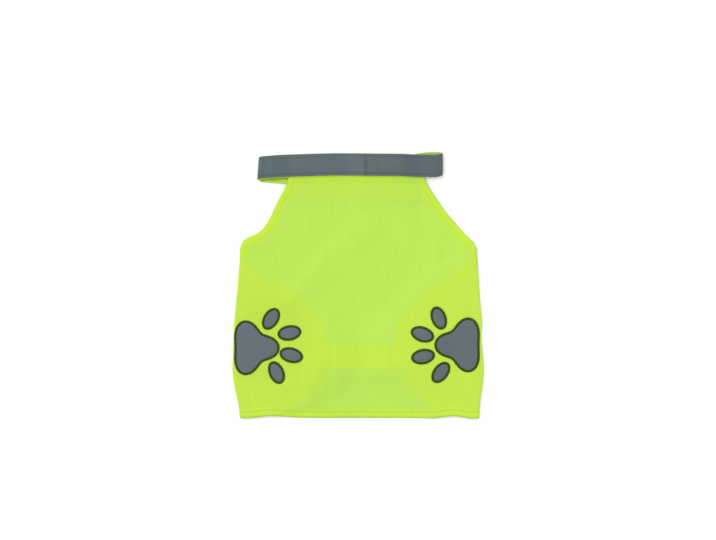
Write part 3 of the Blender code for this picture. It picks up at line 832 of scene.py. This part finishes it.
def makeCollar():
    v = collar
    band = makeStrip("collarBand", 0, bandEnd, v["bandWidth"], -0.5, 0.55, 0.45, bandShade,
                     "fluorescent_cloth", "collar_band", vestCloth, v["bandShift"], v["bandTaper"])
    tape = makeStrip("collarTape", 0, tapeEnd, v["tapeWidth"], tapeInner, tapeOuter, 0, tapeShade,
                     "reflective_tape", "collar_tape", reflectiveTape)
    start, end = v["lapTip"] - v["closure"][1], v["lapTip"] - v["closure"][0]
    closures = []
    for number, kind in enumerate(("Hook", "Loop"), start=1):
        closures.append(makeStrip("collar" + kind, start, end, v["closureWidth"], -number * layer - 0.45,
                                  -number * layer + 0.45, 0, 0, "hook_and_loop", "collar_" + kind.lower(),
                                  closureNap))
    return band, tape, closures


band, tape, collarPatches = makeCollar()
print("collar made")

# Paws: reflective cloth with a satin-stitched edge

paw = {
    "padWaves": (25.8, -0.4, -1.3, 5.6, 1.15, -0.5),  # radius as waves of no, one, two and more turns
    "toeLength": 27.2, "toeWidth": 17.4,
    "crown": 0.3,
    "satin": {"Pitch": 0.5, "Width": 2.8, "Rise": 0.45, "Radius": 0.2},
    "left": {"pad": (-118.6, -70.5),
             "toes": ((-98.1, -37.9, 58), (-77.3, -53.8, 10), (-75.2, -78.8, -14), (-91.9, -98.5, -66))},
    "right": {"pad": (116.2, -67.3),
              "toes": ((91, -37, -70), (72.5, -55.3, -18), (73.2, -80.3, 10), (93.2, -98.2, 52))},
}


def padOutline(x, y, side):
    angle = np.arange(180) * math.tau / 180
    radius = sum(wave * np.cos(turns * angle) for turns, wave in enumerate(paw["padWaves"]))
    return np.column_stack([x - side * radius * np.cos(angle), y + radius * np.sin(angle)])


def toeOutline(x, y, turn):
    angle = np.arange(90) * math.tau / 90
    forward = paw["toeLength"] / 2 * np.cos(angle)
    sideways = paw["toeWidth"] / 2 * np.sin(angle)
    c, s = math.cos(math.radians(turn)), math.sin(math.radians(turn))
    return np.column_stack([x + c * forward - s * sideways, y + s * forward + c * sideways])


def toPattern(plan):
    x, y = plan.T
    return np.column_stack([x * patternFold / foldPlace(sideOf(x), y), y])


def makeApplique(name, plan, node):
    edge = resample(toPattern(plan), 1.3, closed=True)
    edge = edge if signedArea(edge) > 0 else edge[::-1]
    inset = resample(insetLine(edge, 0.4), 1.3, closed=True)
    (x0, y0), (x1, y1) = inset.min(axis=0), inset.max(axis=0)
    cut = flatCut(inset, (0.4, 1.2, 2.2), np.arange(x0, x1, 1.5), np.arange(y0, y1, 1.5), 0.6)

    def top(a, y, edge, place):
        swell = smooth(edge / 7)
        uneven = 0.06 * np.sin(a / 3.1 + 0.7 * np.sin(y / 5.0)) * np.sin(y / 4.3)
        return 0.95 + paw["crown"] * swell + uneven * swell

    obj = makeCloth(name, cut, inset, bodySurface, 0.62, top, 0, 0.3, reflectiveCloth)
    return finish(obj, "reflective_cloth", node), edge


paws, pawEdges = [], {"left": [], "right": []}
for sideName, side in (("left", -1), ("right", 1)):
    shapes = [("Pad", "pad", padOutline(*paw[sideName]["pad"], side))]
    for number, toe in enumerate(paw[sideName]["toes"], start=1):
        shapes.append((f"Toe{number}", f"toe_{number}", toeOutline(*toe)))
    for name, node, plan in shapes:
        piece, edge = makeApplique("paw" + sideName.capitalize() + name, plan, f"paw_{sideName}_{node}")
        paws.append(piece)
        pawEdges[sideName].append(edge)
print("paws made")

# Threads: trees of Geometry Nodes that follow lines lying on the cloth


def newTree(name, seed, **sizes):
    # The tree's named inputs: sizes in mm, a seed and a material
    tree = bpy.data.node_groups.new(name, "GeometryNodeTree")
    kinds = [("Geometry", "Geometry")] + [(label, "Float") for label in sizes]
    for label, kind in kinds + [("Seed", "Int"), ("Material", "Material")]:
        socket = tree.interface.new_socket(label, in_out="INPUT", socket_type="NodeSocket" + kind)
        if kind == "Float":
            socket.default_value = sizes[label] * mm
        elif kind == "Int":
            socket.default_value = seed
    tree.interface.new_socket("Geometry", in_out="OUTPUT", socket_type="NodeSocketGeometry")
    return tree, partial(addNode, tree), addNode(tree, "NodeGroupInput").outputs


def pointAt(add, **parts):
    # A point whose coordinates are shares of the tree's sizes
    places = {axis: add("ShaderNodeMath", part, operation="MULTIPLY") for axis, part in parts.items()}
    return add("ShaderNodeCombineXYZ", places)


def bowedThread(add, given, ends, middle):
    bow = add("GeometryNodeCurveQuadraticBezier",
              {"Resolution": 5, "Start": ends[0], "Middle": middle, "End": ends[1]})
    ring = add("GeometryNodeCurvePrimitiveCircle", {"Resolution": 5, "Radius": given["Radius"]})
    return add("GeometryNodeCurveToMesh", {"Curve": bow, "Profile Curve": ring, "Fill Caps": True})


def alignedThreads(add, given, line, thread):
    # Instances of the thread on the line's points: x along the line, z along the stored up
    steps = add("GeometryNodeResampleCurve", {"Curve": line, "Length": given["Pitch"]}, mode="LENGTH")
    up = add("GeometryNodeInputNamedAttribute", {"Name": "up"}, data_type="FLOAT_VECTOR")
    ahead = add("GeometryNodeInputTangent")
    facing = add("FunctionNodeAlignRotationToVector", {"Vector": ahead}, axis="X")
    upright = add("FunctionNodeAlignRotationToVector", {"Rotation": facing, "Vector": up}, axis="Z",
                  pivot_axis="X")
    limits = {0: (0.94, 0.9, 0.9), 1: (1.06, 1.05, 1.1), "Seed": given["Seed"]}
    uneven = add("FunctionNodeRandomValue", limits, data_type="FLOAT_VECTOR")
    return add("GeometryNodeInstanceOnPoints",
               {"Points": steps, "Instance": thread, "Scale": uneven, "Rotation": upright})


def closeTree(tree, given, geometry):
    real = addNode(tree, "GeometryNodeRealizeInstances", {"Geometry": geometry})
    coated = addNode(tree, "GeometryNodeSetMaterial", {"Geometry": real, "Material": given["Material"]})
    addNode(tree, "NodeGroupOutput", {"Geometry": coated})
    return tree


def stitchTree():
    # A running seam: short bowed threads whose ends sink into the cloth
    tree, add, given = newTree("runningSeam", seed=4, Pitch=3.0, Length=2.4, Rise=0.3, Radius=0.18)
    length, rise = given["Length"], given["Rise"]
    ends = [pointAt(add, X=(length, side), Z=(rise, -0.6)) for side in (-0.5, 0.5)]
    thread = bowedThread(add, given, ends, pointAt(add, Z=(rise, 1.0)))
    line = add("GeometryNodeMeshToCurve", {"Mesh": given["Geometry"]})
    return closeTree(tree, given, alignedThreads(add, given, line, thread))


def satinTree():
    # A satin edge: threads laid side by side across the line, over a padded core
    tree, add, given = newTree("satinEdge", seed=7, Pitch=0.5, Width=3.0, Rise=0.5, Radius=0.2)
    width, rise = given["Width"], given["Rise"]
    ends = [pointAt(add, Y=(width, side)) for side in (-0.5, 0.5)]
    thread = bowedThread(add, given, ends, pointAt(add, Z=(rise, 1.7)))
    line = add("GeometryNodeMeshToCurve", {"Mesh": given["Geometry"]})
    level = add("GeometryNodeSetCurveNormal", {"Curve": line}, mode="Z_UP")
    ring = add("GeometryNodeCurvePrimitiveCircle", {"Resolution": 10, "Radius": 1.0})
    half = add("ShaderNodeMath", (width, 0.46), operation="MULTIPLY")
    coreSize = add("ShaderNodeCombineXYZ", (half, rise, 1.0))
    oval = add("GeometryNodeTransform", {"Geometry": ring, "Scale": coreSize})
    core = add("GeometryNodeCurveToMesh", {"Curve": level, "Profile Curve": oval})
    both = add("GeometryNodeJoinGeometry")
    for part in (core, alignedThreads(add, given, line, thread)):
        tree.links.new(part.outputs[0], both.inputs[0])
    return closeTree(tree, given, both)


def layLines(lines):
    # Lines as a mesh of edges, with the cloth's up kept on each point
    points, ups, edges = [], [], []
    for line, up, closed in lines:
        first = len(points)
        points += list(line * mm)
        ups += list(up)
        edges += [(first + k, first + k + 1) for k in range(len(line) - 1)]
        if closed:
            edges.append((first + len(line) - 1, first))
    mesh = bpy.data.meshes.new("seamLines")
    mesh.from_pydata(points, edges, [])
    upward = mesh.attributes.new("up", "FLOAT_VECTOR", "POINT")
    upward.data.foreach_set("vector", np.array(ups, float).ravel())
    return mesh


def runTree(name, lines, tree, material, slot, sizes):
    # Grows the threads on the lines and keeps them as a plain mesh; the sizes are in mm
    source = addObject(name + "Lines", layLines(lines))
    modifier = source.modifiers.new("threads", "NODES")
    modifier.node_group = tree
    wanted = {label: size * mm for label, size in sizes.items()} | {"Material": material}
    for item in tree.interface.items_tree:
        if item.in_out == "INPUT" and item.name in wanted:
            modifier[item.identifier] = wanted[item.name]
    grown = bpy.data.meshes.new_from_object(source.evaluated_get(bpy.context.evaluated_depsgraph_get()))
    bpy.data.objects.remove(source, do_unlink=True)
    grown.name = name
    grown.materials.clear()
    return finish(newObject(name, grown, material), slot)


def onCloth(surface, line, height, closed=False, below=False):
    # A pattern line lifted onto the cloth: its points, which way is up from the cloth, and whether it closes
    a, y = line.T
    normals = surfaceNormals(surface, a, y)
    raised = surface(a, y) + normals * np.asarray(height).reshape(-1, 1)
    return raised, -normals if below else normals, closed


seam, satin = stitchTree(), satinTree()
for sideName, edges in pawEdges.items():
    lines = []
    for edge in edges:
        centre = resample(insetLine(edge, paw["satin"]["Width"] / 2), 1.0, closed=True)
        lines.append(onCloth(bodySurface, centre, 0.95, closed=True))
    runTree("paw" + sideName.capitalize() + "Satin", lines, satin, satinThread,
                              "reflective_cloth", paw["satin"])
print("satin edges made")

seamValues = {
    "hem": {"Pitch": 3.1, "Length": 2.5, "Rise": 0.14, "Radius": 0.17},
    "tape": {"Pitch": 2.8, "Length": 2.2, "Rise": 0.14, "Radius": 0.16},
    "strap": {"Pitch": 3.1, "Length": 2.5, "Rise": 0.1, "Radius": 0.17},
}


def hemSeams():
    line = resample(insetLine(outline, bodyValues["stitchLine"]), 2.0, closed=True)
    outside, inside = [], []
    inFold = np.abs(np.abs(line[:, 0]) - patternFold - 0.75 * foldArc) < foldArc / 2
    for run in runsOf(line, (line[:, 1] < 118) & ~inFold):
        away, place = nearestOnLine(run, outline, closed=True)
        a, y = run.T
        sunk = 0.05 - 0.3 * smooth((np.abs(a) - patternFold) / foldArc)  # flat against the floor on the wings
        outside.append(onCloth(bodySurface, run, bodyOuter(a, y, away, place) + sunk))
        inside.append(onCloth(bodySurface, run, bodyInner(a, y, away, place) - 0.05, below=True))
    return outside + inside


def runsOf(line, keep):
    # The unbroken stretches of a closed line where keep holds, which it doesn't everywhere
    first = int(np.argmin(keep))
    line, keep = np.roll(line, -first, axis=0), np.roll(keep, -first)
    stops = np.flatnonzero(np.diff(np.concatenate([[False], keep, [False]]).astype(int)))
    return [line[start:end] for start, end in zip(stops[::2], stops[1::2]) if end - start > 3]


hemStitches = runTree("hemStitches", hemSeams(), seam, hemThread, "fluorescent_cloth", seamValues["hem"])


def tapeSeams():
    # Along both sides of the tape, and across it where it is joined
    v = collar
    half, end = v["tapeWidth"] / 2 - v["stitchInset"], tapeEnd - 2
    join = upperStart + v["joinPlace"] - axisLeft
    lines = []
    for ends in (((2, -half), (end, -half)), ((2, half), (end, half)), ((join, -half), (join, half))):
        line = resample(np.array(ends), 1.0)
        lines.append(onCloth(collarSurface, line, tapeOuter(*line.T, 0, 0) - 0.03))
    return lines


tapeStitches = runTree("tapeStitches", tapeSeams(), seam, greyThread, "reflective_tape", seamValues["tape"])


def strapSeams():
    # Round the strap on its outer face, and a crossed square where it is sewn to the left wing
    v = belt
    half = v["width"] / 2 - v["boxInset"]
    low, high = v["middle"] - half, v["middle"] + half
    left, right, square = v["left"] + v["boxInset"], v["right"] - v["boxInset"], v["left"] + 2 * half
    box = resample(np.array([(left, low), (right, low), (right, high), (left, high)]), 1.0, closed=True)
    lines = [onCloth(levelAt(bottomLayer), box, 0.37, closed=True)]
    for start, end in (((left, low), (square, high)), ((left, high), (square, low)),
                       ((square, low), (square, high))):
        line = resample(np.array([start, end]), 1.0)
        lines.append(onCloth(levelAt(bottomLayer), line, -0.2, below=True))
    return lines


strapStitches = runTree("strapStitches", strapSeams(), seam, hemThread, "fluorescent_cloth",
                        seamValues["strap"])
print("seams made")

# Each paw piece's edge, inset by 0.4 mm; nothing keeps the result


edges = pawEdges["left"] + pawEdges["right"]
for number, piece in enumerate(paws):  # one for each paw piece
    insetLine(edges[number], 0.4)
